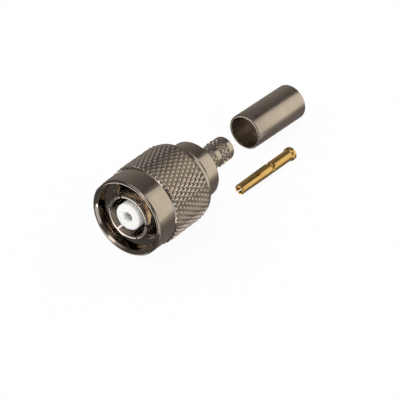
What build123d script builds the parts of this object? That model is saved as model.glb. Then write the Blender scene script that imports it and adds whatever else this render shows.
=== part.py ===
"""Reverse polarity TNC crimp plug, shown as it comes: plug, loose crimp ferrule and loose centre contact.

Lengths are millimetres. The plug's axis is the Y axis and its mouth faces -Y, with the origin
on that axis in the plane of the mouth. +Z is up: the plug lies on its knurled coupling nut, and
the two loose pieces lie on the same surface.
"""

import math
import os

from build123d import *

# Coupling nut, outside
nut_length = 14.9
knurl_diameter = 15.0
knurl_count = 50
knurl_depth = 0.28
knurl_helix = 29.0
front_band_diameter = 14.3
front_band_length = 4.5
knurl_end_gap = 0.25
knurl_end_step = 0.1
knurl_wall = 0.35
knurl_overlap = 0.17
rim_bevel_width = 0.2
rim_bevel_length = 0.25
rim_land = 0.3
rear_land_diameter = 14.3
rear_land_length = 0.86
rear_land_bevel = 0.3

# Coupling nut, inside
lead_in_diameter = 12.5
lead_in_depth = 2.4
lead_in_cone_length = 0.7
thread_minor_diameter = 10.3
relief_diameter = 11.6
relief_overlap = 0.6
running_clearance = 0.06
rear_wall = 1.35

# Snap ring that holds the nut on the body
ring_thickness = 0.8
ring_width = 1.25
ring_gap_angle = 42.0
ring_play = 0.12
ring_seat_clearance = 0.05

# Plug body
groove_wall = 0.3
groove_depth = 0.35
neck_front_length = 1.35
shoulder_height = 0.35
shoulder_gap = 1.45
shoulder_length = 3.25
shoulder_bevel = 0.25
contact_seat_depth = 4.5

# Crimp stem at the rear of the body
stem_diameter = 4.7
stem_groove_diameter = 4.3
stem_end_diameter = 4.5
stem_bore_diameter = 3.1
stem_knurl_count = 18
stem_knurl_depth = 0.2
stem_knurl_helix = 37.5
stem_knurl_backing = 0.2
stem_knurl_step = 0.03
stem_front_length = 4.1
stem_groove_length = 1.1
stem_rear_length = 2.2
stem_end_length = 1.3
stem_end_bevel = 0.3

# Slotted outer contact
outer_contact_diameter = 8.3
outer_contact_wall = 0.6
outer_contact_rear_wall = 0.4
outer_contact_step_height = 0.2
outer_contact_step_setback = 0.15
outer_contact_edge = 0.12
slot_count = 6
slot_width = 0.35
slot_length = 4.8
slot_angle = -5.0

# Insulator
post_diameter = 4.9
post_proud = 0.15
post_edge = 0.15
post_front_wall = 0.93
flange_reach = 2.0
front_hole_diameter = 1.9
contact_bore_diameter = 2.3

# Gasket
gasket_width = 0.7
gasket_thickness = 1.2
gasket_setback = 0.3

# Centre contact, stations from its tip
contact_tip_diameter = 1.94
contact_front_diameter = 2.12
contact_front_length = 8.4
contact_neck_diameter = 1.7
contact_neck_slope = 0.3
contact_barrel_diameter = 2.1
contact_length = 15.15
contact_collar_diameter = 2.58
contact_collar_length = 0.9
contact_collar_slope = 0.2
contact_collar_bevel = 0.3
contact_slot_width = 0.22
contact_slot_length = 5.6
contact_pin_bore = 1.0
contact_pin_bore_depth = 6.6
contact_wire_bore = 1.15
contact_wire_bore_depth = 6.25
inspection_hole_diameter = 0.4
inspection_hole_setback = 5.9
contact_tip_edge = 0.12
contact_slot_roll = 35.0
inspection_hole_roll = 45.0

# Crimp ferrule
ferrule_diameter = 6.85
ferrule_wall = 0.45
ferrule_length = 13.85
ferrule_edge = 0.1

# Where the loose pieces lie, beside the plug's axis and behind its mouth
ferrule_aside = -3.74
ferrule_behind = 47.17
ferrule_yaw = -2.25
contact_aside = 4.61
contact_behind = 34.27
contact_yaw = -2.55

# Radii that follow from the sizes above
seat_radius = outer_contact_diameter / 2 + outer_contact_step_height
body_groove_radius = seat_radius + groove_wall
neck_radius = body_groove_radius + groove_depth
nut_bore_radius = neck_radius + running_clearance
ring_inner_radius = body_groove_radius + ring_seat_clearance
ring_outer_radius = ring_inner_radius + ring_width
nut_groove_radius = ring_outer_radius + ring_play
flange_diameter = outer_contact_diameter - 2 * outer_contact_rear_wall

# Stations along the axis that follow from the sizes above
floor_height = -knurl_diameter / 2
nut_groove_rear = nut_length - rear_wall
nut_groove_front = nut_groove_rear - ring_thickness - 2 * ring_play
ring_front = nut_groove_front + ring_play
body_groove_front = ring_front - ring_seat_clearance
body_groove_rear = ring_front + ring_thickness + ring_seat_clearance
body_front = body_groove_front - neck_front_length
gasket_front = body_front - gasket_thickness
outer_contact_step = gasket_front - outer_contact_step_setback
thread_rear = gasket_front - gasket_setback
relief_rear = body_front + relief_overlap
contact_seat = body_front + contact_seat_depth
flange_front = body_front - flange_reach
shoulder_front = nut_length + shoulder_gap
shoulder_rear = shoulder_front + shoulder_length
stem_groove_front = shoulder_rear + stem_front_length
stem_groove_rear = stem_groove_front + stem_groove_length
stem_end_front = stem_groove_rear + stem_rear_length
stem_rear = stem_end_front + stem_end_length
tip_station = contact_seat - (contact_length - contact_collar_length)
post_front = tip_station - post_front_wall
outer_contact_front = post_front + post_proud


def turned(*outline):
    """Ring or rod turned about the Y axis from (radius, station) corners."""
    return revolve(make_face(Polyline(*outline, close=True)), Axis.Y)


def knurled_sleeve(radius, depth, count, helix, front, rear, front_radius, rear_radius, inner):
    """Sleeve about the Y axis covered with pointed diamonds, which slope down to a plain edge at each end.

    The diamonds' points and the crossings of the grooves between them alternate on one grid.
    """
    step_angle = math.pi / count
    step_along = math.pi * radius / count / math.tan(math.radians(helix))
    steps = math.floor((rear - front - 2 * knurl_end_gap) / step_along)
    start = (front + rear - steps * step_along) / 2

    def ring(station, radii):
        return [
            Vector(r * math.cos(j * step_angle), station, r * math.sin(j * step_angle))
            for j, r in enumerate(radii)
        ]

    def plain(edge_radius):
        return [edge_radius] * (2 * count)

    grid = [ring(front, plain(front_radius))]
    for row in range(1, steps + 2):
        radii = [radius if (row + j) % 2 else radius - depth for j in range(2 * count)]
        grid.append(ring(start + (row - 1) * step_along, radii))
    grid.append(ring(rear, plain(rear_radius)))
    front_bore = ring(front, plain(inner))
    rear_bore = ring(rear, plain(inner))
    faces = []
    for i in range(len(grid) - 1):
        for j in range(2 * count):
            k = (j + 1) % (2 * count)
            corners = [grid[i][j], grid[i + 1][j], grid[i + 1][k], grid[i][k]]
            turn = (i + j) % 2
            a, b, c, d = corners[turn:] + corners[:turn]
            faces.append(Face(Wire.make_polygon([a, b, c])))
            faces.append(Face(Wire.make_polygon([a, c, d])))
    for j in range(2 * count):
        k = (j + 1) % (2 * count)
        faces.append(Face(Wire.make_polygon([front_bore[j], front_bore[k], rear_bore[k], rear_bore[j]])))
    for outline, bore in ((grid[0], front_bore), (grid[-1], rear_bore)):
        faces.append(Face(Wire.make_polygon(outline), [Wire.make_polygon(bore)]))
    return Part() + Solid(Shell(faces))


def slots_across(count, width, length, reach, front):
    """Axial slots of a length from a front station, spread evenly about the Y axis."""
    slots = Part()
    for i in range(count):
        blade = Pos(reach / 2, front + length / 2, 0) * Box(reach, length, width)
        slots += Rot(0, -360.0 / count * i, 0) * blade
    return slots


def coupling_nut():
    band = front_band_diameter / 2
    knurl = knurl_diameter / 2
    land = rear_land_diameter / 2
    lead_in = lead_in_diameter / 2
    minor = thread_minor_diameter / 2
    relief = relief_diameter / 2
    bore = nut_bore_radius
    groove = nut_groove_radius
    rim_outer = band - rim_bevel_width
    rim_inner = rim_outer - rim_land
    land_front = nut_length - rear_land_length
    backing = groove + knurl_wall
    core = turned(
        (rim_inner, 0),
        (rim_outer, 0),
        (band, rim_bevel_length),
        (band, front_band_length),
        (backing, front_band_length),
        (backing, land_front),
        (land, land_front),
        (land, nut_length - rear_land_bevel),
        (land - rear_land_bevel, nut_length),
        (bore, nut_length),
        (bore, nut_groove_rear),
        (groove, nut_groove_rear),
        (groove, nut_groove_front),
        (bore, nut_groove_front),
        (bore, relief_rear),
        (relief, relief_rear),
        (relief, thread_rear),
        (minor, thread_rear),
        (minor, lead_in_depth + lead_in_cone_length),
        (lead_in, lead_in_depth),
        (lead_in, rim_inner - lead_in),
    )
    sleeve = knurled_sleeve(
        knurl,
        knurl_depth,
        knurl_count,
        knurl_helix,
        front_band_length,
        land_front,
        band - knurl_end_step,
        land - knurl_end_step,
        backing - knurl_overlap,
    )
    return core + sleeve


def stem_knurl(front, rear, front_radius, rear_radius):
    """One knurled band of the crimp stem."""
    stem = stem_diameter / 2
    backing = stem - stem_knurl_depth - stem_knurl_backing
    return knurled_sleeve(
        stem,
        stem_knurl_depth,
        stem_knurl_count,
        stem_knurl_helix,
        front,
        rear,
        front_radius,
        rear_radius,
        backing - stem_knurl_backing / 2,
    )


def plug_body():
    neck = neck_radius
    shoulder = neck_radius + shoulder_height
    groove = body_groove_radius
    seat = seat_radius
    stem_groove = stem_groove_diameter / 2
    stem_end = stem_end_diameter / 2
    stem_core = stem_diameter / 2 - stem_knurl_depth - stem_knurl_backing
    bore = stem_bore_diameter / 2
    body = turned(
        (seat, body_front),
        (neck, body_front),
        (neck, body_groove_front),
        (groove, body_groove_front),
        (groove, body_groove_rear),
        (neck, body_groove_rear),
        (neck, shoulder_front),
        (shoulder - shoulder_bevel, shoulder_front),
        (shoulder, shoulder_front + shoulder_bevel),
        (shoulder, shoulder_rear - shoulder_bevel),
        (shoulder - shoulder_bevel, shoulder_rear),
        (stem_core, shoulder_rear),
        (stem_core, stem_groove_front),
        (stem_groove, stem_groove_front),
        (stem_groove, stem_groove_rear),
        (stem_core, stem_groove_rear),
        (stem_core, stem_end_front),
        (stem_end, stem_end_front),
        (stem_end, stem_rear - stem_end_bevel),
        (stem_end - stem_end_bevel, stem_rear),
        (bore, stem_rear),
        (bore, contact_seat),
        (seat, contact_seat),
    )
    low = stem_groove - stem_knurl_step
    body += stem_knurl(shoulder_rear, stem_groove_front, low, low)
    return body + stem_knurl(stem_groove_rear, stem_end_front, low, low)


def outer_contact():
    outer = outer_contact_diameter / 2
    bore = outer - outer_contact_wall
    seat = seat_radius
    flange = flange_diameter / 2
    edge = outer_contact_edge
    sleeve = turned(
        (bore, outer_contact_front),
        (outer - edge, outer_contact_front),
        (outer, outer_contact_front + edge),
        (outer, outer_contact_step),
        (seat, outer_contact_step),
        (seat, contact_seat),
        (flange, contact_seat),
        (flange, flange_front),
        (bore, flange_front),
    )
    slots = slots_across(slot_count, slot_width, slot_length, outer_contact_diameter, outer_contact_front)
    return sleeve - Rot(0, -slot_angle, 0) * slots


def insulator():
    post = post_diameter / 2
    flange = flange_diameter / 2
    front_hole = front_hole_diameter / 2
    bore = contact_bore_diameter / 2
    return turned(
        (front_hole, post_front),
        (post - post_edge, post_front),
        (post, post_front + post_edge),
        (post, flange_front),
        (flange, flange_front),
        (flange, contact_seat),
        (bore, contact_seat),
        (bore, tip_station),
        (front_hole, tip_station),
    )


def snap_ring():
    inner = ring_inner_radius
    outer = ring_outer_radius
    rear = ring_front + ring_thickness
    section = make_face(Polyline((inner, ring_front), (outer, ring_front), (outer, rear), (inner, rear), close=True))
    ring = revolve(section, Axis.Y, 360.0 - ring_gap_angle)
    return Rot(0, 90.0 + ring_gap_angle / 2, 0) * ring


def gasket():
    inner = seat_radius
    outer = seat_radius + gasket_width
    return turned((inner, gasket_front), (outer, gasket_front), (outer, body_front), (inner, body_front))


def centre_contact():
    """Socket contact with four spring tines, its tip at the origin and its axis along +Y."""
    tip = contact_tip_diameter / 2
    front = contact_front_diameter / 2
    neck = contact_neck_diameter / 2
    barrel = contact_barrel_diameter / 2
    collar = contact_collar_diameter / 2
    pin_bore = contact_pin_bore / 2
    wire_bore = contact_wire_bore / 2
    neck_station = contact_front_length + contact_neck_slope
    collar_front = contact_length - contact_collar_length
    rod = turned(
        (0, 0),
        (tip - contact_tip_edge, 0),
        (tip, contact_tip_edge),
        (front, contact_front_length),
        (neck, neck_station),
        (barrel, neck_station + contact_neck_slope),
        (barrel, collar_front),
        (collar, collar_front + contact_collar_slope),
        (collar, contact_length - contact_collar_bevel),
        (collar - contact_collar_bevel, contact_length),
        (0, contact_length),
    )
    rod -= turned((0, 0), (pin_bore, 0), (pin_bore, contact_pin_bore_depth), (0, contact_pin_bore_depth))
    wire_front = contact_length - contact_wire_bore_depth
    rod -= turned((0, wire_front), (wire_bore, wire_front), (wire_bore, contact_length), (0, contact_length))
    slots = slots_across(4, contact_slot_width, contact_slot_length, contact_front_diameter, 0)
    rod -= Rot(0, contact_slot_roll, 0) * slots
    drill = Cylinder(inspection_hole_diameter / 2, collar, align=(Align.CENTER, Align.CENTER, Align.MIN))
    return rod - Rot(0, 90.0 - inspection_hole_roll, 0) * Pos(0, contact_length - inspection_hole_setback, 0) * drill


def crimp_ferrule():
    """Plain tube with its front end at the origin and its axis along +Y."""
    outer = ferrule_diameter / 2
    inner = outer - ferrule_wall
    return turned(
        (inner, 0),
        (outer - ferrule_edge, 0),
        (outer, ferrule_edge),
        (outer, ferrule_length - ferrule_edge),
        (outer - ferrule_edge, ferrule_length),
        (inner, ferrule_length),
    )


def laid_down(piece, front, rear, aside, behind, yaw):
    """Lays a loose piece on the surface, where it rests on two of its circles.

    Each circle is given by its diameter and its station. The point midway between them lies at the given place.
    """
    front_diameter, front_station = front
    rear_diameter, rear_station = rear
    tilt = math.atan((rear_diameter - front_diameter) / 2 / (rear_station - front_station))
    height = (front_diameter + rear_diameter) / 4 * math.cos(tilt)
    middle = (front_station + rear_station) / 2
    place = Pos(aside, behind, floor_height + height) * Rot(0, 0, yaw) * Rot(math.degrees(tilt), 0, 0)
    return place * Pos(0, -middle, 0) * piece


def build():
    ferrule = laid_down(
        crimp_ferrule(),
        (ferrule_diameter, ferrule_edge),
        (ferrule_diameter, ferrule_length - ferrule_edge),
        ferrule_aside,
        ferrule_behind,
        ferrule_yaw,
    )
    collar_station = contact_length - contact_collar_length + contact_collar_slope
    contact = laid_down(
        centre_contact(),
        (contact_tip_diameter, contact_tip_edge),
        (contact_collar_diameter, collar_station),
        contact_aside,
        contact_behind,
        contact_yaw,
    )
    return {
        "coupling_nut": coupling_nut(),
        "plug_body": plug_body(),
        "outer_contact": outer_contact(),
        "insulator": insulator(),
        "snap_ring": snap_ring(),
        "gasket": gasket(),
        "centre_contact": contact,
        "crimp_ferrule": ferrule,
    }


os.makedirs("parts", exist_ok=True)
for name, solid in build().items():
    export_step(solid, f"parts/{name}.step")
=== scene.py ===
"""Looks of the reverse polarity TNC crimp plug with its loose ferrule and centre contact.

The turned pieces are lathe meshes about their own Y axis. Sizes are millimetres until a point is
made, and the frame is metres. The plug's mouth faces -Y and +Z is up.
"""

import math
from typing import NamedTuple

import bmesh
import bpy
from mathutils import Matrix, Vector


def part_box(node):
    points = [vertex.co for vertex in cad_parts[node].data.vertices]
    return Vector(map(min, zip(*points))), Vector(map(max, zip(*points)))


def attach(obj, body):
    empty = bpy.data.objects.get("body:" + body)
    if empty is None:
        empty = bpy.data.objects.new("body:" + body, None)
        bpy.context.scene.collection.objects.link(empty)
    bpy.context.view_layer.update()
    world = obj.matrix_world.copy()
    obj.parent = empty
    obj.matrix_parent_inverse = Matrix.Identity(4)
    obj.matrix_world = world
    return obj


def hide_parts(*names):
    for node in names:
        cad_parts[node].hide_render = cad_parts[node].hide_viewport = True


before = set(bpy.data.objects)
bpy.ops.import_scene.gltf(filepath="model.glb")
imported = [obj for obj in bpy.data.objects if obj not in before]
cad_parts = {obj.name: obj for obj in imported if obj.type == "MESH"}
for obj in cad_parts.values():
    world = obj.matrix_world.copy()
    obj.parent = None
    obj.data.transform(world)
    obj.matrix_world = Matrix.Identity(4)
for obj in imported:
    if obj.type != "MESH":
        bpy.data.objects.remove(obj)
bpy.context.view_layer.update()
MM = 0.001


def extent(node):
    """Radius about the plug's axis, front station and rear station of a node."""
    low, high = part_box(node)
    return high.x / MM, low.y / MM, high.y / MM


# Places that follow from the frame
KNURL_RADIUS, _, NUT_LENGTH = extent("coupling_nut")
SHOULDER_RADIUS, BODY_FRONT, STEM_REAR = extent("plug_body")
SEAT_RADIUS, SLEEVE_FRONT, CONTACT_SEAT = extent("outer_contact")
FLANGE_RADIUS, POST_FRONT, FLANGE_REAR = extent("insulator")
RING_RADIUS, RING_FRONT, RING_REAR = extent("snap_ring")
GASKET_RADIUS, GASKET_FRONT, GASKET_REAR = extent("gasket")
FLOOR_HEIGHT = -KNURL_RADIUS

# Coupling nut, outside
KNURL_COUNT = 50
KNURL_DEPTH = 0.28
KNURL_HELIX = 29.0
KNURL_END_STEP = 0.1
BAND_RADIUS = 7.15
BAND_LENGTH = 4.5
LAND_RADIUS = 7.15
LAND_LENGTH = 0.86
LAND_BEVEL = 0.3
RIM_OUTER = 6.95
RIM_INNER = 6.65
RIM_BEVEL_LENGTH = 0.25

# Coupling nut, inside
LEAD_IN_RADIUS = 6.25
LEAD_IN_DEPTH = 2.4
LEAD_IN_CONE_LENGTH = 0.7
THREAD_MINOR = 5.15
THREAD_MAJOR = 5.56
THREAD_PITCH = 25.4 / 28
THREAD_CREST_END = 0.33
THREAD_ROOT_START = 0.588
THREAD_ROOT_END = 0.742
THREAD_SETBACK = 0.3
RELIEF_RADIUS = 5.8
RELIEF_OVERLAP = 0.6
RUNNING_CLEARANCE = 0.06
RING_PLAY = 0.12

# Plug body
NECK_RADIUS = SHOULDER_RADIUS - 0.35
RING_SEAT = 4.65
RING_SEAT_CLEARANCE = 0.05
SHOULDER_GAP = 1.45
SHOULDER_LENGTH = 3.25
SHOULDER_BEVEL = 0.25
STEM_RADIUS = 2.35
STEM_GROOVE_RADIUS = 2.15
STEM_END_RADIUS = 2.25
STEM_BORE = 1.55
STEM_FRONT_LENGTH = 4.1
STEM_GROOVE_LENGTH = 1.1
STEM_END_LENGTH = 1.3
STEM_KNURL_COUNT = 18
STEM_KNURL_DEPTH = 0.2
STEM_KNURL_HELIX = 37.5

# Slotted outer contact
SLEEVE_RADIUS = 4.15
SLEEVE_BORE = 3.55
SLEEVE_STEP_SETBACK = 0.15
SLOT_COUNT = 6
SLOT_WIDTH = 0.35
SLOT_LENGTH = 4.8
SLOT_ANGLE = -5.0

# Insulator
POST_RADIUS = 2.45
POST_HOLE = 0.95
POST_FRONT_WALL = 0.93
POST_EDGE = 0.15
FLANGE_REACH = 2.0
CONTACT_BORE = 1.15

# Loose centre contact, from its tip
CONTACT_LENGTH = 15.15
CONTACT_ASIDE = 4.61
CONTACT_BEHIND = 34.27
CONTACT_YAW = -2.55
TIP_RADIUS = 0.97
TIP_EDGE = 0.12
TINE_COUNT = 4
TINE_RADIUS = 1.06
TINE_REAR = 8.4
TINE_SLOT_WIDTH = 0.22
TINE_SLOT_LENGTH = 5.6
TINE_SLOT_ROLL = 55.0
PIN_NECK_RADIUS = 0.85
PIN_NECK_SLOPE = 0.3
BARREL_RADIUS = 1.05
COLLAR_RADIUS = 1.29
COLLAR_LENGTH = 0.9
COLLAR_SLOPE = 0.2
PIN_BORE = 0.5
PIN_BORE_DEPTH = 6.6
WIRE_BORE = 0.575
WIRE_BORE_DEPTH = 6.25
PEEP_HOLE_RADIUS = 0.2
PEEP_HOLE_SETBACK = 5.9
PEEP_HOLE_ROLL = 45.0

# Loose crimp ferrule
FERRULE_LENGTH = 13.85
FERRULE_RADIUS = 3.425
FERRULE_WALL = 0.45
FERRULE_ASIDE = -3.74
FERRULE_BEHIND = 47.17
FERRULE_YAW = -2.25

# Rounded edges
EDGE_ROUND = 0.05
EDGE_STEPS = 3
SIDE_PARTS = 3
RIM_ROUND = 0.06
STEM_END_ROUND = 0.3
STEM_END_STEPS = 6
CONTACT_ROUND = 0.12
CONTACT_STEPS = 5
THREAD_ROUND = 0.03
KNURL_TOP_FLAT = 0.15
KNURL_GROOVE_FLAT = 0.05

# How finely the meshes are divided
KNURL_SPLIT = 5
STEM_KNURL_SPLIT = 8
INSIDE_COUNT = 250
SLEEVE_SPLIT = 48
TINE_SPLIT = 24
ROUND_COUNT = 192
HOLE_SEGMENTS = 32
MERGE_DISTANCE = 0.0002 * MM
SHARP_ANGLE = 25.0

# Camera, fitted to the photograph
CAMERA_AZIMUTH = 36.39
CAMERA_ELEVATION = 32.94
CAMERA_DISTANCE = 400.0
CAMERA_LENS = 213.8
CAMERA_SENSOR = 36.0
CAMERA_NEAR = 10.0
CAMERA_FAR = 10000.0
AIM_RIGHT = 12.52
AIM_UP = 3.16

# Floor, plain light and lamp
FLOOR_SIZE = 4000.0
FLOOR_COLOUR = (0.86, 0.85, 0.83, 1)
FLOOR_WHITENING = 0.95
WHITE = (1, 1, 1, 1)
PLAIN_COLOUR = (0.88, 0.88, 0.88, 1)
LAMP_DIRECTION = (-0.35, -0.55, 0.76)
LAMP_STRENGTH = 0.9
LAMP_ANGLE = 30.0

# Reflected studio, by degrees about the plug's axis from +X upwards
HALF_TURN = 180.0
LOW_START = -150.0
WINDOW_LOW = -17.0
WINDOW_HIGH = 67.0
WINDOW_EDGE = 4.0
WINDOW_COLOUR = (0.42, 0.38, 0.36, 1)
LOW_COLOUR = (0.18, 0.16, 0.15, 1)
HIGH_COLOUR = (0.075, 0.065, 0.06, 1)
SIDE_COLOUR = (0.26, 0.235, 0.21, 1)


class Wall(NamedTuple):
    """Dark end wall of the reflected studio: the shares of +Y where it starts and is full."""

    start: float
    full: float
    colour: tuple


FRONT_WALL = Wall(0.8, 0.0, (0.085, 0.078, 0.075, 1))
REAR_WALL = Wall(0.84, 0.93, (0.08, 0.075, 0.08, 1))


class RoundLight(NamedTuple):
    """Light in the reflected studio.

    Its place is in degrees from +Y towards +X and in degrees up, and its half width and soft edge
    are in degrees too.
    """

    azimuth: float
    elevation: float
    radius: float
    edge: float
    colour: tuple


WINDOW_GLOW = RoundLight(44, 15, 27, 17, (0.47, 0.44, 0.35))
KEY_LIGHT = RoundLight(172, 18, 14, 5, (1.6, 1.55, 1.6))
UPPER_KEY_LIGHT = RoundLight(165, 41, 9, 4, (1.1, 1.05, 1.1))
RIM_LIGHT = RoundLight(125, -34, 4, 2, (2.0, 1.9, 2.0))
RIGHT_PANEL = RoundLight(130, -13, 21, 6, (0.62, 0.59, 0.60))
LOW_RIGHT_PANEL = RoundLight(78, -33, 21, 6, (0.66, 0.62, 0.60))
TOP_PANEL = RoundLight(160, 67, 30, 11, (0.32, 0.29, 0.27))
OVERHEAD = RoundLight(-64, 70, 18, 12, (0.15, 0.14, 0.14))
LOW_LEFT_LAMP = RoundLight(-125, -49, 12, 7, (2.8, 2.7, 2.6))
LEFT_LAMP = RoundLight(-170, -14, 7, 3, (1.8, 1.45, 1.1))
FAR_LEFT_LAMP = RoundLight(-71, -6, 9, 6, (2.2, 2.3, 2.5))
ROUND_LIGHTS = (
    WINDOW_GLOW,
    KEY_LIGHT,
    UPPER_KEY_LIGHT,
    RIM_LIGHT,
    RIGHT_PANEL,
    LOW_RIGHT_PANEL,
    TOP_PANEL,
    OVERHEAD,
    LOW_LEFT_LAMP,
    LEFT_LAMP,
    FAR_LEFT_LAMP,
)


class MetalFinish(NamedTuple):
    """Colours of a plated metal, its least and greatest roughness and how deep its marks are."""

    light: tuple
    dark: tuple
    smooth: float
    rough: float
    mark_depth: float


NICKEL_LIGHT = (0.635, 0.575, 0.50)
NICKEL_DARK = (0.56, 0.503, 0.44)
NUT_FINISH = MetalFinish(NICKEL_LIGHT, NICKEL_DARK, 0.04, 0.09, 0.001)
BODY_FINISH = MetalFinish(NICKEL_LIGHT, NICKEL_DARK, 0.10, 0.17, 0.0012)
SLEEVE_FINISH = MetalFinish(NICKEL_LIGHT, NICKEL_DARK, 0.12, 0.20, 0.001)
FERRULE_FINISH = MetalFinish(NICKEL_LIGHT, NICKEL_DARK, 0.16, 0.24, 0.001)
GOLD_FINISH = MetalFinish((0.95, 0.66, 0.25), (0.85, 0.55, 0.19), 0.12, 0.22, 0.0015)
BRONZE_FINISH = MetalFinish((0.62, 0.42, 0.26), (0.50, 0.33, 0.20), 0.25, 0.35, 0.001)


class MattFinish(NamedTuple):
    """Colours and roughness of a matt solid, and how wide its clouds and its grain are."""

    light: tuple
    dark: tuple
    roughness: float
    cloud_size: float
    grain_size: float


PTFE_FINISH = MattFinish((0.99, 0.975, 0.95), (0.965, 0.94, 0.905), 0.45, 1.5, 0.12)
SILICONE_FINISH = MattFinish((0.45, 0.11, 0.07), (0.33, 0.07, 0.045), 0.55, 0.8, 0.1)

# What all finishes share
NOISE_DETAIL = 3.0
MIDDLE_LOW = 0.3
MIDDLE_HIGH = 0.7
STAIN_LOW = 0.35
STAIN_HIGH = 0.7
STAIN_SIZE = 2.5
SMEAR_SIZE = 1.2
SMEAR_DETAIL = 5.0
MARK_SIZE = 0.09
MARK_DETAIL = 4.0
DENT_SIZE = 0.6
DENT_DEPTH = 0.002
GRAIN_DEPTH = 0.004

# Painted shade in the knurls' grooves and painted highlight on their ridges, the ferrule's bore
# and the light inside PTFE
# Factors on the metal's colour: painted shade at a knurl's bottom, painted highlight at its top
PAINTED_GROOVE_SHADE = 0.05
PAINTED_RIDGE_HIGHLIGHT = 1.55
# Share of the knurl's depth at which the painted highlight is full
PAINTED_HIGHLIGHT_HEIGHT = 0.6
BORE_DULLNESS = 0.3
SCATTER_SHARE = 0.7
SCATTER_REACH = (1.0, 0.9, 0.75)
SCATTER_SIZE = 1.2


# Lathe meshes

def round_angles(count):
    """That many equal steps round the axis, from +X upwards."""
    return [2 * math.pi * j / count for j in range(count)]


def smoothed(mesh):
    """The mesh, shaded smooth but for its sharp edges."""
    mesh.shade_smooth()
    mesh.set_sharp_from_angle(angle=math.radians(SHARP_ANGLE))
    return mesh


class Lathe:
    """Collects rings of points about the Y axis and joins them into one closed mesh."""

    def __init__(self):
        self.points = []
        self.faces = []

    def ring(self, radii, stations, angles):
        """Adds a ring and returns its point numbers."""
        first = len(self.points)
        for radius, station, angle in zip(radii, stations, angles):
            self.points.append(
                (radius * MM * math.cos(angle), station * MM, radius * MM * math.sin(angle))
            )
        return list(range(first, len(self.points)))

    def circle(self, radius, station, count):
        """Adds a round ring and returns its point numbers."""
        return self.ring([radius] * count, [station] * count, round_angles(count))

    def join(self, one, two):
        """Joins two rings of which one count divides the other."""
        if len(one) == len(two):
            for j, corner in enumerate(one):
                k = (j + 1) % len(one)
                self.faces.append((corner, one[k], two[k], two[j]))
            return
        fine, coarse = (one, two) if len(one) > len(two) else (two, one)
        ratio = len(fine) // len(coarse)
        middle = ratio // 2
        for j, corner in enumerate(coarse):
            following = coarse[(j + 1) % len(coarse)]
            run = [fine[(j * ratio + i) % len(fine)] for i in range(ratio + 1)]
            self.faces += [(run[i], run[i + 1], corner) for i in range(middle)]
            self.faces.append((run[middle], following, corner))
            self.faces += [(run[i], run[i + 1], following) for i in range(middle, ratio)]

    def outline(self, corners, count):
        """Adds a ring at each (radius, station) corner, joins them in order and returns them."""
        rings = [self.circle(radius, station, count) for radius, station in corners]
        for one, two in zip(rings, rings[1:]):
            self.join(one, two)
        return rings

    def mesh(self, name):
        """The mesh, with points that coincide merged and every face turned outwards."""
        made = bpy.data.meshes.new(name)
        made.from_pydata(self.points, [], self.faces)
        work = bmesh.new()
        work.from_mesh(made)
        bmesh.ops.remove_doubles(work, verts=work.verts, dist=MERGE_DISTANCE)
        bmesh.ops.recalc_face_normals(work, faces=work.faces)
        work.to_mesh(made)
        work.free()
        return smoothed(made)


def softened(corners, size=EDGE_ROUND, steps=EDGE_STEPS, closed=True):
    """The outline with each corner rounded off by up to that size. An open one keeps its ends."""
    result = []
    for i, corner in enumerate(corners):
        if not closed and i in (0, len(corners) - 1):
            result.append(corner)
            continue
        here = Vector(corner)
        before = Vector(corners[i - 1]) - here
        after = Vector(corners[(i + 1) % len(corners)]) - here
        start = here + before.normalized() * min(size, before.length / SIDE_PARTS)
        end = here + after.normalized() * min(size, after.length / SIDE_PARTS)
        for step in range(steps + 1):
            t = step / steps
            point = start * (1 - t) ** 2 + here * 2 * t * (1 - t) + end * t ** 2
            result.append((point.x, point.y))
    return result


def turned(name, corners, count=ROUND_COUNT):
    """A solid of revolution from its closed outline of (radius, station) corners."""
    lathe = Lathe()
    rings = lathe.outline(softened(corners), count)
    lathe.join(rings[-1], rings[0])
    return lathe.mesh(name)


def knurl_height(angle, along, count, pitch_along):
    """Height of a pointed diamond knurl, from 0 in its grooves to 1 at a diamond's point."""
    around = angle * count / (2 * math.pi)
    along /= pitch_along
    one = abs(2 * ((around + along) % 1) - 1)
    two = abs(2 * ((around - along) % 1) - 1)
    return min(one, two)


def knurl(lathe, radius, depth, count, helix, front, rear, front_radius, rear_radius, split):
    """Adds a knurled band that slopes down to a plain edge at both ends, and returns its rings.

    The faces' diagonals follow the grooves, so that grooves and ridges stay straight.
    """
    cell = math.pi * radius / count / math.tan(math.radians(helix))
    cells = math.ceil((rear - front) / cell)
    start = (front + rear - cells * cell) / 2
    step = cell / split
    segments = 2 * count * split
    angles = round_angles(segments)
    rows = [
        row
        for row in range(cells * split)
        if front + step / 2 < start + row * step < rear - step / 2
    ]
    rings = [lathe.circle(front_radius, front, segments)]
    for row in rows:
        station = start + row * step
        slope = min(front_radius + station - front, rear_radius + rear - station)
        radii = []
        for angle in angles:
            height = knurl_height(angle, row * step, count, 2 * cell)
            height = min(max(height, KNURL_GROOVE_FLAT), 1 - KNURL_TOP_FLAT)
            radii.append(min(radius - depth * (1 - KNURL_TOP_FLAT - height), slope))
        rings.append(lathe.ring(radii, [station] * segments, angles))
    rings.append(lathe.circle(rear_radius, rear, segments))
    lathe.join(rings[0], rings[1])
    for number, row in enumerate(rows[:-1], 1):
        one, two = rings[number], rings[number + 1]
        for j in range(segments):
            k = (j + 1) % segments
            if (row // split + j // split) % 2:
                lathe.faces += [(one[j], one[k], two[k]), (one[j], two[k], two[j])]
            else:
                lathe.faces += [(one[j], one[k], two[j]), (one[k], two[k], two[j])]
    lathe.join(rings[-2], rings[-1])
    return rings


def cut_at(outline, reach):
    """The outline with a point added wherever it crosses the station reach."""
    result = []
    for (radius, station), (before_radius, before) in zip(outline, outline[:1] + outline[:-1]):
        if (before - reach) * (station - reach) < 0:
            share = (reach - before) / (station - before)
            result.append((before_radius + share * (radius - before_radius), reach))
        result.append((radius, station))
    return result


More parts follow.
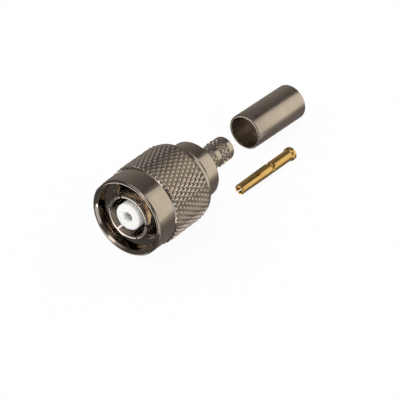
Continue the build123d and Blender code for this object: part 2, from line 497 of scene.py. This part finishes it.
def slotted(name, outline, closed, reach, count, width, roll, split):
    """A turned piece with axial slots from its front end to the station reach.

    The outline starts and ends behind the slots. Each slot's walls are parallel.
    """
    lathe = Lathe()
    outline = cut_at(outline, reach)
    rings = []
    for radius, station in outline:
        half = math.asin(width / 2 / max(radius, width))
        angles = []
        for slot in range(count):
            start = math.radians(roll) + 2 * math.pi * slot / count + half
            span = 2 * math.pi / count - 2 * half
            angles += [start + span * i / split for i in range(split + 1)]
        rings.append(lathe.ring([radius] * len(angles), [station] * len(angles), angles))
    zone = [i for i, point in enumerate(outline) if point[1] <= reach]
    inner, outer = rings[zone[0]], rings[zone[-1]]
    total = len(inner)
    pairs = list(zip(range(len(rings)), range(1, len(rings))))
    if closed:
        pairs.append((len(rings) - 1, 0))
    for i, following in pairs:
        one, two = rings[i], rings[following]
        for j in range(total):
            k = (j + 1) % total
            if k % (split + 1) == 0 and i in zone and following in zone:
                continue
            lathe.faces.append((one[j], one[k], two[k], two[j]))
    for start in range(0, total, split + 1):
        end = start + split
        beyond = (end + 1) % total
        lathe.faces.append(tuple(rings[i][start] for i in zone))
        lathe.faces.append(tuple(rings[i][end] for i in reversed(zone)))
        lathe.faces.append((outer[end], outer[beyond], inner[beyond], inner[end]))
    return lathe.mesh(name)


# Plug

def thread_radius(share):
    """Radius of the inside thread at a share of one turn along it."""
    rise = THREAD_MAJOR - THREAD_MINOR
    flank = THREAD_ROOT_START - THREAD_CREST_END
    if share < THREAD_CREST_END:
        return THREAD_MINOR
    if share < THREAD_ROOT_START:
        return THREAD_MINOR + rise * (share - THREAD_CREST_END) / flank
    if share < THREAD_ROOT_END:
        return THREAD_MAJOR
    return THREAD_MAJOR - rise * (share - THREAD_ROOT_END) / (1 - THREAD_ROOT_END)


def inside_thread(lathe, front, rear):
    """Adds a right-hand inside thread between two stations, cut through the lead-in cone."""
    cone_slope = (LEAD_IN_RADIUS - THREAD_MINOR) / LEAD_IN_CONE_LENGTH
    shares = []
    for corner in (0, THREAD_CREST_END, THREAD_ROOT_START, THREAD_ROOT_END):
        shares += [(corner - THREAD_ROUND) % 1, corner + THREAD_ROUND]
    shares.sort()
    per_turn = len(shares)
    turns = math.ceil((rear - front) / THREAD_PITCH) + 2
    rows = []
    for turn in range(-1, turns):
        for share in shares:
            radii = []
            stations = []
            for j in range(INSIDE_COUNT):
                station = front + THREAD_PITCH * (turn + share - j / INSIDE_COUNT)
                radius = max(thread_radius(share), LEAD_IN_RADIUS - (station - front) * cone_slope)
                if station <= front:
                    station, radius = front, LEAD_IN_RADIUS
                if station >= rear:
                    station, radius = rear, RELIEF_RADIUS
                radii.append(radius)
                stations.append(station)
            rows.append(lathe.ring(radii, stations, round_angles(INSIDE_COUNT)))
    for number in range(per_turn + 1, len(rows)):
        one, two = rows[number - 1], rows[number]
        for j in range(INSIDE_COUNT - 1):
            lathe.faces.append((one[j], one[j + 1], two[j + 1], two[j]))
        turn_one, turn_two = rows[number - 1 - per_turn], rows[number - per_turn]
        lathe.faces.append((one[-1], turn_one[0], turn_two[0], two[-1]))


def coupling_nut():
    """The nut, with its knurl and its real thread."""
    lathe = Lathe()
    segments = 2 * KNURL_COUNT * KNURL_SPLIT
    land_front = NUT_LENGTH - LAND_LENGTH
    bore = NECK_RADIUS + RUNNING_CLEARANCE
    groove = RING_RADIUS + RING_PLAY
    thread_rear = GASKET_FRONT - THREAD_SETBACK
    knurl_edges = (BAND_RADIUS - KNURL_END_STEP, LAND_RADIUS - KNURL_END_STEP)
    rim = softened(
        [
            (LEAD_IN_RADIUS, LEAD_IN_DEPTH),
            (LEAD_IN_RADIUS, RIM_INNER - LEAD_IN_RADIUS),
            (RIM_INNER, 0),
            (RIM_OUTER, 0),
            (BAND_RADIUS, RIM_BEVEL_LENGTH),
            (BAND_RADIUS, BAND_LENGTH),
            (knurl_edges[0], BAND_LENGTH),
        ],
        RIM_ROUND,
        closed=False,
    )
    land = softened(
        [
            (knurl_edges[1], land_front),
            (LAND_RADIUS, land_front),
            (LAND_RADIUS, NUT_LENGTH - LAND_BEVEL),
            (LAND_RADIUS - LAND_BEVEL, NUT_LENGTH),
            (bore, NUT_LENGTH),
        ],
        closed=False,
    )
    inside = [
        (bore, RING_REAR + RING_PLAY),
        (groove, RING_REAR + RING_PLAY),
        (groove, RING_FRONT - RING_PLAY),
        (bore, RING_FRONT - RING_PLAY),
        (bore, BODY_FRONT + RELIEF_OVERLAP),
        (RELIEF_RADIUS, BODY_FRONT + RELIEF_OVERLAP),
        (RELIEF_RADIUS, thread_rear),
    ]
    lead_in = lathe.circle(LEAD_IN_RADIUS, LEAD_IN_DEPTH, INSIDE_COUNT)
    rim_rings = lathe.outline(rim[1:-1], segments)
    knurl_rings = knurl(
        lathe,
        KNURL_RADIUS,
        KNURL_DEPTH,
        KNURL_COUNT,
        KNURL_HELIX,
        BAND_LENGTH,
        land_front,
        knurl_edges[0],
        knurl_edges[1],
        KNURL_SPLIT,
    )
    land_rings = lathe.outline(land[1:], segments)
    inside_rings = lathe.outline(inside, INSIDE_COUNT)
    lathe.join(lead_in, rim_rings[0])
    lathe.join(rim_rings[-1], knurl_rings[0])
    lathe.join(knurl_rings[-1], land_rings[0])
    lathe.join(land_rings[-1], inside_rings[0])
    inside_thread(lathe, LEAD_IN_DEPTH, thread_rear)
    return lathe.mesh("coupling_nut_turned")


def stem_knurl(lathe, front, rear):
    """Adds one of the stem's two knurled bands and returns its rings."""
    return knurl(
        lathe,
        STEM_RADIUS,
        STEM_KNURL_DEPTH,
        STEM_KNURL_COUNT,
        STEM_KNURL_HELIX,
        front,
        rear,
        STEM_GROOVE_RADIUS,
        STEM_GROOVE_RADIUS,
        STEM_KNURL_SPLIT,
    )


def plug_body():
    """The body, with its knurled crimp stem."""
    lathe = Lathe()
    segments = 2 * STEM_KNURL_COUNT * STEM_KNURL_SPLIT
    shoulder_front = NUT_LENGTH + SHOULDER_GAP
    shoulder_rear = shoulder_front + SHOULDER_LENGTH
    groove_front = shoulder_rear + STEM_FRONT_LENGTH
    groove_rear = groove_front + STEM_GROOVE_LENGTH
    end_front = STEM_REAR - STEM_END_LENGTH
    front = softened(
        [
            (STEM_BORE, CONTACT_SEAT),
            (SEAT_RADIUS, CONTACT_SEAT),
            (SEAT_RADIUS, BODY_FRONT),
            (NECK_RADIUS, BODY_FRONT),
            (NECK_RADIUS, RING_FRONT - RING_SEAT_CLEARANCE),
            (RING_SEAT, RING_FRONT - RING_SEAT_CLEARANCE),
            (RING_SEAT, RING_REAR + RING_SEAT_CLEARANCE),
            (NECK_RADIUS, RING_REAR + RING_SEAT_CLEARANCE),
            (NECK_RADIUS, shoulder_front),
            (SHOULDER_RADIUS - SHOULDER_BEVEL, shoulder_front),
            (SHOULDER_RADIUS, shoulder_front + SHOULDER_BEVEL),
            (SHOULDER_RADIUS, shoulder_rear - SHOULDER_BEVEL),
            (SHOULDER_RADIUS - SHOULDER_BEVEL, shoulder_rear),
            (STEM_GROOVE_RADIUS, shoulder_rear),
        ],
        closed=False,
    )
    end = softened(
        [
            (STEM_GROOVE_RADIUS, end_front),
            (STEM_END_RADIUS, end_front),
            (STEM_END_RADIUS, STEM_REAR),
            (STEM_BORE, STEM_REAR),
            (STEM_BORE, CONTACT_SEAT),
        ],
        STEM_END_ROUND,
        STEM_END_STEPS,
        closed=False,
    )
    front_rings = lathe.outline(front[:-1], segments)
    front_knurl = stem_knurl(lathe, shoulder_rear, groove_front)
    rear_knurl = stem_knurl(lathe, groove_rear, end_front)
    end_rings = lathe.outline(end[1:-1], segments)
    lathe.join(front_rings[-1], front_knurl[0])
    lathe.join(front_knurl[-1], rear_knurl[0])
    lathe.join(rear_knurl[-1], end_rings[0])
    lathe.join(end_rings[-1], front_rings[0])
    return lathe.mesh("plug_body_turned")


def outer_contact():
    """The slotted sleeve round the mouth's post."""
    step = GASKET_FRONT - SLEEVE_STEP_SETBACK
    flange_front = BODY_FRONT - FLANGE_REACH
    outline = softened(
        [
            (FLANGE_RADIUS, CONTACT_SEAT),
            (FLANGE_RADIUS, flange_front),
            (SLEEVE_BORE, flange_front),
            (SLEEVE_BORE, SLEEVE_FRONT),
            (SLEEVE_RADIUS, SLEEVE_FRONT),
            (SLEEVE_RADIUS, step),
            (SEAT_RADIUS, step),
            (SEAT_RADIUS, CONTACT_SEAT),
        ]
    )
    return slotted(
        "outer_contact_slotted",
        outline,
        True,
        SLEEVE_FRONT + SLOT_LENGTH,
        SLOT_COUNT,
        SLOT_WIDTH,
        SLOT_ANGLE,
        SLEEVE_SPLIT,
    )


def insulator():
    """The white post, with its flange inside the sleeve."""
    flange_front = BODY_FRONT - FLANGE_REACH
    tip_station = POST_FRONT + POST_FRONT_WALL
    return turned(
        "insulator_turned",
        [
            (POST_HOLE, POST_FRONT),
            (POST_RADIUS - POST_EDGE, POST_FRONT),
            (POST_RADIUS, POST_FRONT + POST_EDGE),
            (POST_RADIUS, flange_front),
            (FLANGE_RADIUS, flange_front),
            (FLANGE_RADIUS, FLANGE_REAR),
            (CONTACT_BORE, FLANGE_REAR),
            (CONTACT_BORE, tip_station),
            (POST_HOLE, tip_station),
        ],
    )


def gasket():
    """The flat sealing ring at the bottom of the mouth."""
    return turned(
        "gasket_ring",
        [
            (SEAT_RADIUS, GASKET_FRONT),
            (GASKET_RADIUS, GASKET_FRONT),
            (GASKET_RADIUS, GASKET_REAR),
            (SEAT_RADIUS, GASKET_REAR),
        ],
    )


# Loose pieces

def drilled(mesh, radius, station, roll):
    """The mesh with a round hole drilled into one side at a station."""
    drill = bpy.data.meshes.new("drill")
    work = bmesh.new()
    reach = 2 * COLLAR_RADIUS * MM
    turn = Matrix.Rotation(math.radians(90 - roll), 4, "Y")
    place = Matrix.Translation((0, station * MM, 0)) @ turn @ Matrix.Translation((0, 0, reach / 2))
    bmesh.ops.create_cone(
        work,
        cap_ends=True,
        segments=HOLE_SEGMENTS,
        radius1=radius * MM,
        radius2=radius * MM,
        depth=reach,
        matrix=place,
    )
    work.to_mesh(drill)
    work.free()
    blank = bpy.data.objects.new("blank", mesh)
    tool = bpy.data.objects.new("tool", drill)
    bpy.context.scene.collection.objects.link(blank)
    bpy.context.scene.collection.objects.link(tool)
    cut = blank.modifiers.new("cut", "BOOLEAN")
    cut.object = tool
    cut.operation = "DIFFERENCE"
    cut.solver = "EXACT"
    seen = bpy.context.evaluated_depsgraph_get()
    result = bpy.data.meshes.new_from_object(blank.evaluated_get(seen))
    bpy.data.objects.remove(blank)
    bpy.data.objects.remove(tool)
    name = mesh.name
    bpy.data.meshes.remove(mesh)
    bpy.data.meshes.remove(drill)
    result.name = name
    return smoothed(result)


def centre_contact():
    """Socket contact with four tines, its tip at the origin."""
    neck_station = TINE_REAR + PIN_NECK_SLOPE
    collar_front = CONTACT_LENGTH - COLLAR_LENGTH
    wire_front = CONTACT_LENGTH - WIRE_BORE_DEPTH
    outline = softened(
        [
            (0, PIN_BORE_DEPTH),
            (PIN_BORE, PIN_BORE_DEPTH),
            (PIN_BORE, 0),
            (TIP_RADIUS, 0),
            (TINE_RADIUS, TINE_REAR),
            (PIN_NECK_RADIUS, neck_station),
            (BARREL_RADIUS, neck_station + PIN_NECK_SLOPE),
            (BARREL_RADIUS, collar_front),
            (COLLAR_RADIUS, collar_front + COLLAR_SLOPE),
            (COLLAR_RADIUS, CONTACT_LENGTH),
            (WIRE_BORE, CONTACT_LENGTH),
            (WIRE_BORE, wire_front),
            (0, wire_front),
        ],
        CONTACT_ROUND,
        CONTACT_STEPS,
        closed=False,
    )
    mesh = slotted(
        "centre_contact_turned",
        outline,
        False,
        TINE_SLOT_LENGTH,
        TINE_COUNT,
        TINE_SLOT_WIDTH,
        TINE_SLOT_ROLL,
        TINE_SPLIT,
    )
    return drilled(mesh, PEEP_HOLE_RADIUS, CONTACT_LENGTH - PEEP_HOLE_SETBACK, PEEP_HOLE_ROLL)


def crimp_ferrule():
    """Plain tube with its front end at the origin."""
    inner = FERRULE_RADIUS - FERRULE_WALL
    return turned(
        "crimp_ferrule_tube",
        [
            (inner, 0),
            (FERRULE_RADIUS, 0),
            (FERRULE_RADIUS, FERRULE_LENGTH),
            (inner, FERRULE_LENGTH),
        ],
    )


def laid_down(mesh, front, rear, aside, behind, yaw):
    """Object of a loose piece that lies on two of its circles, each given by radius and station.

    The point on its axis midway between the circles is put at that place.
    """
    made = bpy.data.objects.new(mesh.name, mesh)
    tilt = math.atan((rear[0] - front[0]) / (rear[1] - front[1]))
    height = FLOOR_HEIGHT + (front[0] + rear[0]) / 2 * math.cos(tilt)
    place = Matrix.Translation(Vector((aside, behind, height)) * MM)
    turn = Matrix.Rotation(math.radians(yaw), 4, "Z") @ Matrix.Rotation(tilt, 4, "X")
    made.matrix_world = place @ turn @ Matrix.Translation((0, -(front[1] + rear[1]) / 2 * MM, 0))
    return made


# Materials

def add_node(tree, kind, **values):
    """Adds a node to a node tree and sets its values."""
    made = tree.nodes.new(kind)
    for name, value in values.items():
        setattr(made, name, value)
    return made


def blend(tree, factor, one, two, way="MIX"):
    """Blends two colours, each of them a node's output or a plain colour."""
    made = add_node(tree, "ShaderNodeMix", data_type="RGBA", blend_type=way)
    tree.links.new(factor, made.inputs["Factor"])
    for side, colour in (("A", one), ("B", two)):
        if isinstance(colour, tuple):
            made.inputs[side].default_value = colour
        else:
            tree.links.new(colour, made.inputs[side])
    return made.outputs["Result"]


class Shading:
    """One procedural material with its Principled shader."""

    def __init__(self, name, metallic, roughness):
        self.material = bpy.data.materials.new(name)
        self.material.use_nodes = True
        self.tree = self.material.node_tree
        self.shader = self.tree.nodes["Principled BSDF"]
        self.shader.inputs["Metallic"].default_value = metallic
        self.shader.inputs["Roughness"].default_value = roughness

    def node(self, kind, **values):
        """Adds a node to the material."""
        return add_node(self.tree, kind, **values)

    def link(self, output, target):
        """Links a node's output to another node's input."""
        self.tree.links.new(output, target)

    def drive(self, name, output):
        """Links a node's output to an input of the shader."""
        self.link(output, self.shader.inputs[name])

    def place(self):
        """Coordinates of the object, in metres."""
        return self.node("ShaderNodeTexCoord").outputs["Object"]

    def radial(self):
        """Coordinates (radius, station, 0), which are the same all round a turned piece."""
        parts = self.node("ShaderNodeSeparateXYZ")
        self.link(self.place(), parts.inputs[0])
        flat = self.node("ShaderNodeCombineXYZ")
        self.link(parts.outputs["X"], flat.inputs["X"])
        self.link(parts.outputs["Z"], flat.inputs["Y"])
        radius = self.node("ShaderNodeVectorMath", operation="LENGTH")
        self.link(flat.outputs[0], radius.inputs[0])
        joined = self.node("ShaderNodeCombineXYZ")
        self.link(radius.outputs["Value"], joined.inputs["X"])
        self.link(parts.outputs["Y"], joined.inputs["Y"])
        return joined.outputs[0]

    def radius_and_station(self):
        """Distance from the piece's axis and place along it, each as an output of its own."""
        parts = self.node("ShaderNodeSeparateXYZ")
        self.link(self.radial(), parts.inputs[0])
        return parts.outputs["X"], parts.outputs["Y"]

    def noise(self, coordinates, size, detail=NOISE_DETAIL):
        """Noise whose features are about that many millimetres across."""
        made = self.node("ShaderNodeTexNoise")
        made.inputs["Scale"].default_value = 1 / (size * MM)
        made.inputs["Detail"].default_value = detail
        self.link(coordinates, made.inputs["Vector"])
        return made.outputs["Fac"]

    def ramp(self, value, low, high, low_colour, high_colour):
        """Colours between two levels of a value."""
        made = self.node("ShaderNodeValToRGB")
        stops = made.color_ramp.elements
        stops[0].position = low
        stops[1].position = high
        stops[0].color = (*low_colour, 1)
        stops[1].color = (*high_colour, 1)
        self.link(value, made.inputs["Fac"])
        return made.outputs["Color"]

    def remapped(self, value, start, end, low, high):
        """A value's range from start to end, as a range from low to high."""
        made = self.node("ShaderNodeMapRange")
        made.inputs["From Min"].default_value = start
        made.inputs["From Max"].default_value = end
        made.inputs["To Min"].default_value = low
        made.inputs["To Max"].default_value = high
        self.link(value, made.inputs["Value"])
        return made.outputs["Result"]

    def painted_knurl_shade(self, colour, bottom, top, stretches):
        """The colour with painted shade at a knurl's bottom, rising to a painted highlight at its
        top, on those stretches.
        """
        radius, station = self.radius_and_station()
        # Painted shade at the knurl's bottom and painted highlight towards its top, as a factor on
        # the colour
        painted_light = self.remapped(radius, bottom * MM, top * MM, PAINTED_GROOVE_SHADE, PAINTED_RIDGE_HIGHLIGHT)
        for front, rear in stretches:
            within = self.node("ShaderNodeMath", operation="COMPARE")
            self.link(station, within.inputs[0])
            within.inputs[1].default_value = (front + rear) / 2 * MM
            within.inputs[2].default_value = (rear - front) / 2 * MM
            colour = blend(self.tree, within.outputs[0], colour, painted_light, "MULTIPLY")
        return colour

    def dull_inside(self, roughness, reach):
        """The roughness, but a dull one nearer to the axis than reach."""
        within = self.node("ShaderNodeMath", operation="LESS_THAN")
        self.link(self.radius_and_station()[0], within.inputs[0])
        within.inputs[1].default_value = reach * MM
        dullness = self.node("ShaderNodeMath", operation="MULTIPLY")
        self.link(within.outputs[0], dullness.inputs[0])
        dullness.inputs[1].default_value = BORE_DULLNESS
        duller = self.node("ShaderNodeMath", operation="MAXIMUM")
        self.link(roughness, duller.inputs[0])
        self.link(dullness.outputs[0], duller.inputs[1])
        return duller.outputs[0]

    def bump(self, height, depth, before=None):
        """A normal from a height of that many millimetres, over the one before."""
        made = self.node("ShaderNodeBump")
        made.inputs["Strength"].default_value = 1.0
        made.inputs["Distance"].default_value = depth * MM
        self.link(height, made.inputs["Height"])
        if before is not None:
            self.link(before, made.inputs["Normal"])
        return made.outputs["Normal"]


def turned_metal(name, finish, painted_knurl_light=None, bore=0.0):
    """Plated metal with fine turning marks round its axis, faint stains and small dents.

    The painted knurl light gives a knurl's bottom radius, the radius where its painted highlight
    is full and its stretches: painted shade in the grooves, painted highlight on the ridges.
    Nearer to the axis than the bore's radius the metal is dull.
    """
    look = Shading(name, 1.0, finish.smooth)
    stains = look.noise(look.place(), STAIN_SIZE)
    colour = look.ramp(stains, STAIN_LOW, STAIN_HIGH, finish.dark, finish.light)
    # Painted shade in the knurl's grooves and painted highlight on its ridges
    if painted_knurl_light is not None:
        colour = look.painted_knurl_shade(colour, *painted_knurl_light)
    look.drive("Base Color", colour)
    smears = look.noise(look.place(), SMEAR_SIZE, SMEAR_DETAIL)
    roughness = look.remapped(smears, MIDDLE_LOW, MIDDLE_HIGH, finish.smooth, finish.rough)
    look.drive("Roughness", look.dull_inside(roughness, bore))
    marks = look.bump(look.noise(look.radial(), MARK_SIZE, MARK_DETAIL), finish.mark_depth)
    look.drive("Normal", look.bump(look.noise(look.place(), DENT_SIZE), DENT_DEPTH, marks))
    return look.material


def matt_solid(name, finish, turned):
    """Matt material with faint clouds and a fine grain, the same all round if it is turned."""
    look = Shading(name, 0.0, finish.roughness)
    clouds = look.noise(look.place(), finish.cloud_size)
    look.drive("Base Color", look.ramp(clouds, MIDDLE_LOW, MIDDLE_HIGH, finish.dark, finish.light))
    grain = look.noise(look.radial() if turned else look.place(), finish.grain_size)
    look.drive("Normal", look.bump(grain, GRAIN_DEPTH))
    return look


def ptfe():
    """White turned PTFE, a little see-through, with faint tool marks."""
    look = matt_solid("ptfe_white", PTFE_FINISH, True)
    look.shader.inputs["Subsurface Weight"].default_value = SCATTER_SHARE
    look.shader.inputs["Subsurface Radius"].default_value = SCATTER_REACH
    look.shader.inputs["Subsurface Scale"].default_value = SCATTER_SIZE * MM
    return look.material


def silicone():
    """Dull red moulded silicone."""
    return matt_solid("silicone_red", SILICONE_FINISH, False).material


# Studio

def light_path(tree):
    """Outputs that tell what kind of ray looks at the surface."""
    return add_node(tree, "ShaderNodeLightPath").outputs


def smooth_share(tree, value, start, full):
    """Share that rises smoothly from 0 where a value is at start to 1 where it is at full."""
    made = add_node(tree, "ShaderNodeMapRange", interpolation_type="SMOOTHSTEP")
    made.inputs["From Min"].default_value = start
    made.inputs["From Max"].default_value = full
    tree.links.new(value, made.inputs["Value"])
    return made.outputs["Result"]


def room_bands(tree, parts):
    """The room's colour by the angle about the plug's axis: a wide window on its right side."""
    turn = add_node(tree, "ShaderNodeMath", operation="ARCTAN2")
    tree.links.new(parts["Z"], turn.inputs[0])
    tree.links.new(parts["X"], turn.inputs[1])
    share = add_node(tree, "ShaderNodeMapRange")
    share.inputs["From Min"].default_value = -math.pi
    share.inputs["From Max"].default_value = math.pi
    tree.links.new(turn.outputs[0], share.inputs["Value"])
    ramp = add_node(tree, "ShaderNodeValToRGB")
    tree.links.new(share.outputs["Result"], ramp.inputs["Fac"])
    half_edge = WINDOW_EDGE / 2
    places = [
        (-HALF_TURN, SIDE_COLOUR),
        (LOW_START, LOW_COLOUR),
        (WINDOW_LOW - half_edge, LOW_COLOUR),
        (WINDOW_LOW + half_edge, WINDOW_COLOUR),
        (WINDOW_HIGH - half_edge, WINDOW_COLOUR),
        (WINDOW_HIGH + half_edge, HIGH_COLOUR),
        (HALF_TURN, SIDE_COLOUR),
    ]
    stops = ramp.color_ramp.elements
    while len(stops) < len(places):
        stops.new(0.5)
    for stop, (angle, colour) in zip(stops, places):
        stop.position = (angle + HALF_TURN) / (2 * HALF_TURN)
        stop.color = colour
    return ramp.outputs["Color"]


def lit_by(tree, direction, before, light):
    """Adds a round light with a soft edge to the room's colour and returns the sum."""
    azimuth, elevation = math.radians(light.azimuth), math.radians(light.elevation)
    across = math.cos(elevation)
    nearness = add_node(tree, "ShaderNodeVectorMath", operation="DOT_PRODUCT")
    tree.links.new(direction, nearness.inputs[0])
    nearness.inputs[1].default_value = (
        across * math.sin(azimuth),
        across * math.cos(azimuth),
        math.sin(elevation),
    )
    outside = math.cos(math.radians(light.radius + light.edge))
    inside = math.cos(math.radians(light.radius - light.edge))
    spot = smooth_share(tree, nearness.outputs["Value"], outside, inside)
    return blend(tree, spot, before, (*light.colour, 1), "ADD")


def add_world():
    """Plain light for matt surfaces, and for metal a dim room that only reflections show."""
    world = bpy.data.worlds.new("studio")
    bpy.context.scene.world = world
    world.use_nodes = True
    tree = world.node_tree
    direction = add_node(tree, "ShaderNodeTexCoord").outputs["Generated"]
    separate = add_node(tree, "ShaderNodeSeparateXYZ")
    tree.links.new(direction, separate.inputs[0])
    parts = separate.outputs
    room = room_bands(tree, parts)
    for wall in (FRONT_WALL, REAR_WALL):
        reach = smooth_share(tree, parts["Y"], wall.start, wall.full)
        room = blend(tree, reach, room, wall.colour)
    for light in ROUND_LIGHTS:
        room = lit_by(tree, direction, room, light)
    rays = light_path(tree)
    mirrored = add_node(tree, "ShaderNodeMath", operation="MAXIMUM")
    tree.links.new(rays["Is Glossy Ray"], mirrored.inputs[0])
    tree.links.new(rays["Is Transmission Ray"], mirrored.inputs[1])
    seen = blend(tree, mirrored.outputs[0], PLAIN_COLOUR, room)
    shown = blend(tree, rays["Is Camera Ray"], seen, WHITE)
    tree.links.new(shown, tree.nodes["Background"].inputs["Color"])


def blend_shaders(tree, factor, one, two):
    """Blends two shaders."""
    made = add_node(tree, "ShaderNodeMixShader")
    for number, output in enumerate((factor, one, two)):
        tree.links.new(output, made.inputs[number])
    return made.outputs[0]


def floor_white():
    """Pale paper that is white to the camera but for a faint shadow, and clear to reflections."""
    material = bpy.data.materials.new("floor_white")
    material.use_nodes = True
    tree = material.node_tree
    tree.nodes.remove(tree.nodes["Principled BSDF"])
    paper = add_node(tree, "ShaderNodeBsdfDiffuse")
    paper.inputs["Color"].default_value = FLOOR_COLOUR
    glow = add_node(tree, "ShaderNodeEmission")
    clear = add_node(tree, "ShaderNodeBsdfTransparent")
    rays = light_path(tree)
    whitening = add_node(tree, "ShaderNodeMath", operation="MULTIPLY")
    tree.links.new(rays["Is Camera Ray"], whitening.inputs[0])
    whitening.inputs[1].default_value = FLOOR_WHITENING
    shown = blend_shaders(tree, whitening.outputs[0], paper.outputs[0], glow.outputs[0])
    surface = blend_shaders(tree, rays["Is Glossy Ray"], shown, clear.outputs[0])
    tree.links.new(surface, tree.nodes["Material Output"].inputs["Surface"])
    return material


def add_floor():
    """Plain floor under the plug. Metal looks past it to the studio."""
    mesh = bpy.data.meshes.new("floor")
    reach = FLOOR_SIZE / 2 * MM
    height = FLOOR_HEIGHT * MM
    corners = [
        (-reach, -reach, height),
        (reach, -reach, height),
        (reach, reach, height),
        (-reach, reach, height),
    ]
    mesh.from_pydata(corners, [], [tuple(range(len(corners)))])
    floor = bpy.data.objects.new("floor", mesh)
    bpy.context.scene.collection.objects.link(floor)
    mesh.materials.append(floor_white())


def add_lamp():
    """One soft lamp above and in front, for the shadow and the form of the matt pieces alone."""
    light = bpy.data.lights.new("soft_lamp", "SUN")
    light.energy = LAMP_STRENGTH
    light.angle = math.radians(LAMP_ANGLE)
    lamp = bpy.data.objects.new("soft_lamp", light)
    lamp.rotation_euler = Vector(LAMP_DIRECTION).to_track_quat("Z", "Y").to_euler()
    lamp.visible_glossy = False
    bpy.context.scene.collection.objects.link(lamp)


def add_camera():
    """Camera at the photograph's viewing angle and framing."""
    azimuth = math.radians(CAMERA_AZIMUTH)
    elevation = math.radians(CAMERA_ELEVATION)
    turn = Matrix.Rotation(azimuth, 4, "Z") @ Matrix.Rotation(math.pi / 2 - elevation, 4, "X")
    aim = Vector((AIM_RIGHT, AIM_UP, CAMERA_DISTANCE)) * MM
    view = bpy.data.cameras.new("camera")
    view.lens = CAMERA_LENS
    view.sensor_width = CAMERA_SENSOR
    view.sensor_fit = "HORIZONTAL"
    view.clip_start = CAMERA_NEAR * MM
    view.clip_end = CAMERA_FAR * MM
    camera = bpy.data.objects.new("camera", view)
    camera.matrix_world = turn @ Matrix.Translation(aim)
    bpy.context.scene.collection.objects.link(camera)
    bpy.context.scene.camera = camera


# Assembly

def nut_painted_knurl_light():
    """Bottom radius, radius of the full painted highlight and stretch of the nut's knurl, for its
    painted shade and highlight.
    """
    bottom = KNURL_RADIUS - KNURL_DEPTH
    front = BAND_LENGTH + KNURL_DEPTH
    rear = NUT_LENGTH - LAND_LENGTH - KNURL_DEPTH
    return bottom, bottom + PAINTED_HIGHLIGHT_HEIGHT * KNURL_DEPTH, [(front, rear)]


def stem_painted_knurl_light():
    """Bottom radius, radius of the full painted highlight and stretches of the stem's two knurls,
    for their painted shade and highlight.
    """
    bottom = STEM_RADIUS - STEM_KNURL_DEPTH
    front = NUT_LENGTH + SHOULDER_GAP + SHOULDER_LENGTH
    groove_front = front + STEM_FRONT_LENGTH
    groove_rear = groove_front + STEM_GROOVE_LENGTH
    stretches = [(front, groove_front), (groove_rear, STEM_REAR - STEM_END_LENGTH)]
    return bottom, bottom + PAINTED_HIGHLIGHT_HEIGHT * STEM_KNURL_DEPTH, stretches


def standing(mesh):
    """Object of a piece that is built where it belongs."""
    return bpy.data.objects.new(mesh.name, mesh)


def loose_ferrule():
    """The ferrule, lying on its side behind the plug."""
    return laid_down(
        crimp_ferrule(),
        (FERRULE_RADIUS, 0),
        (FERRULE_RADIUS, FERRULE_LENGTH),
        FERRULE_ASIDE,
        FERRULE_BEHIND,
        FERRULE_YAW,
    )


def loose_contact():
    """The centre contact, lying on its tip and its collar."""
    collar_station = CONTACT_LENGTH - COLLAR_LENGTH + COLLAR_SLOPE
    return laid_down(
        centre_contact(),
        (TIP_RADIUS, TIP_EDGE),
        (COLLAR_RADIUS, collar_station),
        CONTACT_ASIDE,
        CONTACT_BEHIND,
        CONTACT_YAW,
    )


def show(made, material, body, slot, *nodes):
    """Gives an object its finish and puts it on its body in place of the nodes."""
    made.data.materials.append(material)
    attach(made, body)
    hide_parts(*nodes)


def add_pieces():
    """Puts every piece on its body with its finish. The snap ring is the frame's own."""
    # The nut's and the stem's knurls get painted shade in their grooves and painted highlight on
    # their ridges
    nut_metal = turned_metal("nickel_nut", NUT_FINISH, nut_painted_knurl_light())
    body_metal = turned_metal("nickel_body", BODY_FINISH, stem_painted_knurl_light())
    sleeve_metal = turned_metal("nickel_contact", SLEEVE_FINISH)
    ferrule_bore = FERRULE_RADIUS - FERRULE_WALL + EDGE_ROUND / 2
    ferrule_metal = turned_metal("nickel_ferrule", FERRULE_FINISH, bore=ferrule_bore)
    gold = turned_metal("gold_plate", GOLD_FINISH)
    pieces = [
        (standing(coupling_nut()), nut_metal, "nut", "nickel_nut", "coupling_nut"),
        (standing(plug_body()), body_metal, "plug", "nickel_body", "plug_body"),
        (standing(outer_contact()), sleeve_metal, "plug", "nickel_contact", "outer_contact"),
        (standing(insulator()), ptfe(), "plug", "ptfe", "insulator"),
        (standing(gasket()), silicone(), "plug", "silicone", "gasket"),
        (loose_ferrule(), ferrule_metal, "plug", "nickel_ferrule", "crimp_ferrule"),
        (loose_contact(), gold, "plug", "gold", "centre_contact"),
    ]
    for made, material, body, slot, node in pieces:
        bpy.context.scene.collection.objects.link(made)
        show(made, material, body, slot, node)
    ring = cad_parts["snap_ring"]
    ring.material_slots[0].material = turned_metal("spring_bronze", BRONZE_FINISH)


add_pieces()
add_world()
add_floor()
add_lamp()
add_camera()
bpy.context.scene.view_settings.view_transform = "Standard"
